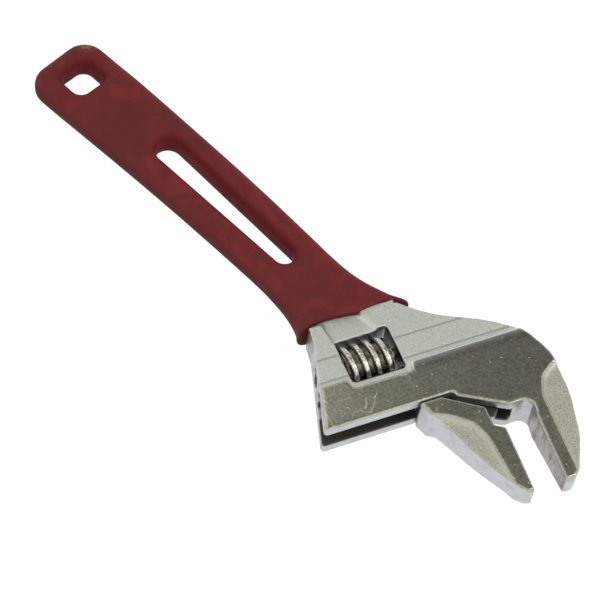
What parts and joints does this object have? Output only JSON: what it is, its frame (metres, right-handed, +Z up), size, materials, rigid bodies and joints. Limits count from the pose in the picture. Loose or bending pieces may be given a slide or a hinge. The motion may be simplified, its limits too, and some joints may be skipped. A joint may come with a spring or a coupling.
{
  "type": "adjustable wrench",
  "caption": "Adjustable wrench with wedge-shaped wide-opening jaws, a plain thumb worm and a red dipped sleeve on its slotted handle.",
  "frame": {"origin": "middle of the whole tool's box, at its bottom, where the head rests", "axes": "+X along the handle towards the head, +Y across the handle towards the fixed jaw's side, +Z up through the thickness"},
  "size_m": [0.1758, 0.057, 0.0112],
  "materials": {
    "forged_steel": "polished strips and satin blasted forging",
    "jaw_steel": "polished strips and satin blasted hollow",
    "worm_steel": "turned, bright worn crests",
    "pin_steel": "turned",
    "spring_steel": "bright wire",
    "dipped_vinyl": "matte, mottled"
  },
  "bodies": {
    "frame": {"wrench_body": "forged_steel", "handle_sleeve": "dipped_vinyl", "worm_pin": "pin_steel", "worm_spring": "spring_steel"},
    "jaw": {"movable_jaw": "jaw_steel"},
    "worm": {"adjusting_worm": "worm_steel"}
  },
  "joints": [
    {"name": "jaw_slide", "type": "slide", "parent": "frame", "child": "jaw", "axis": [0.3923, 0.9198, 0], "range_m": [-0.026, 0.0018]},
    {"name": "worm_spin", "type": "hinge", "parent": "frame", "child": "worm", "pos_m": [0.03061, -0.00543, 0.0056], "axis": [0.3923, 0.9198, 0], "range_deg": [-240, 3130]}
  ],
  "couplings": [
    {"joint": "worm_spin", "follows": "jaw_slide", "rad_per_m": -2094.4}
  ]
}
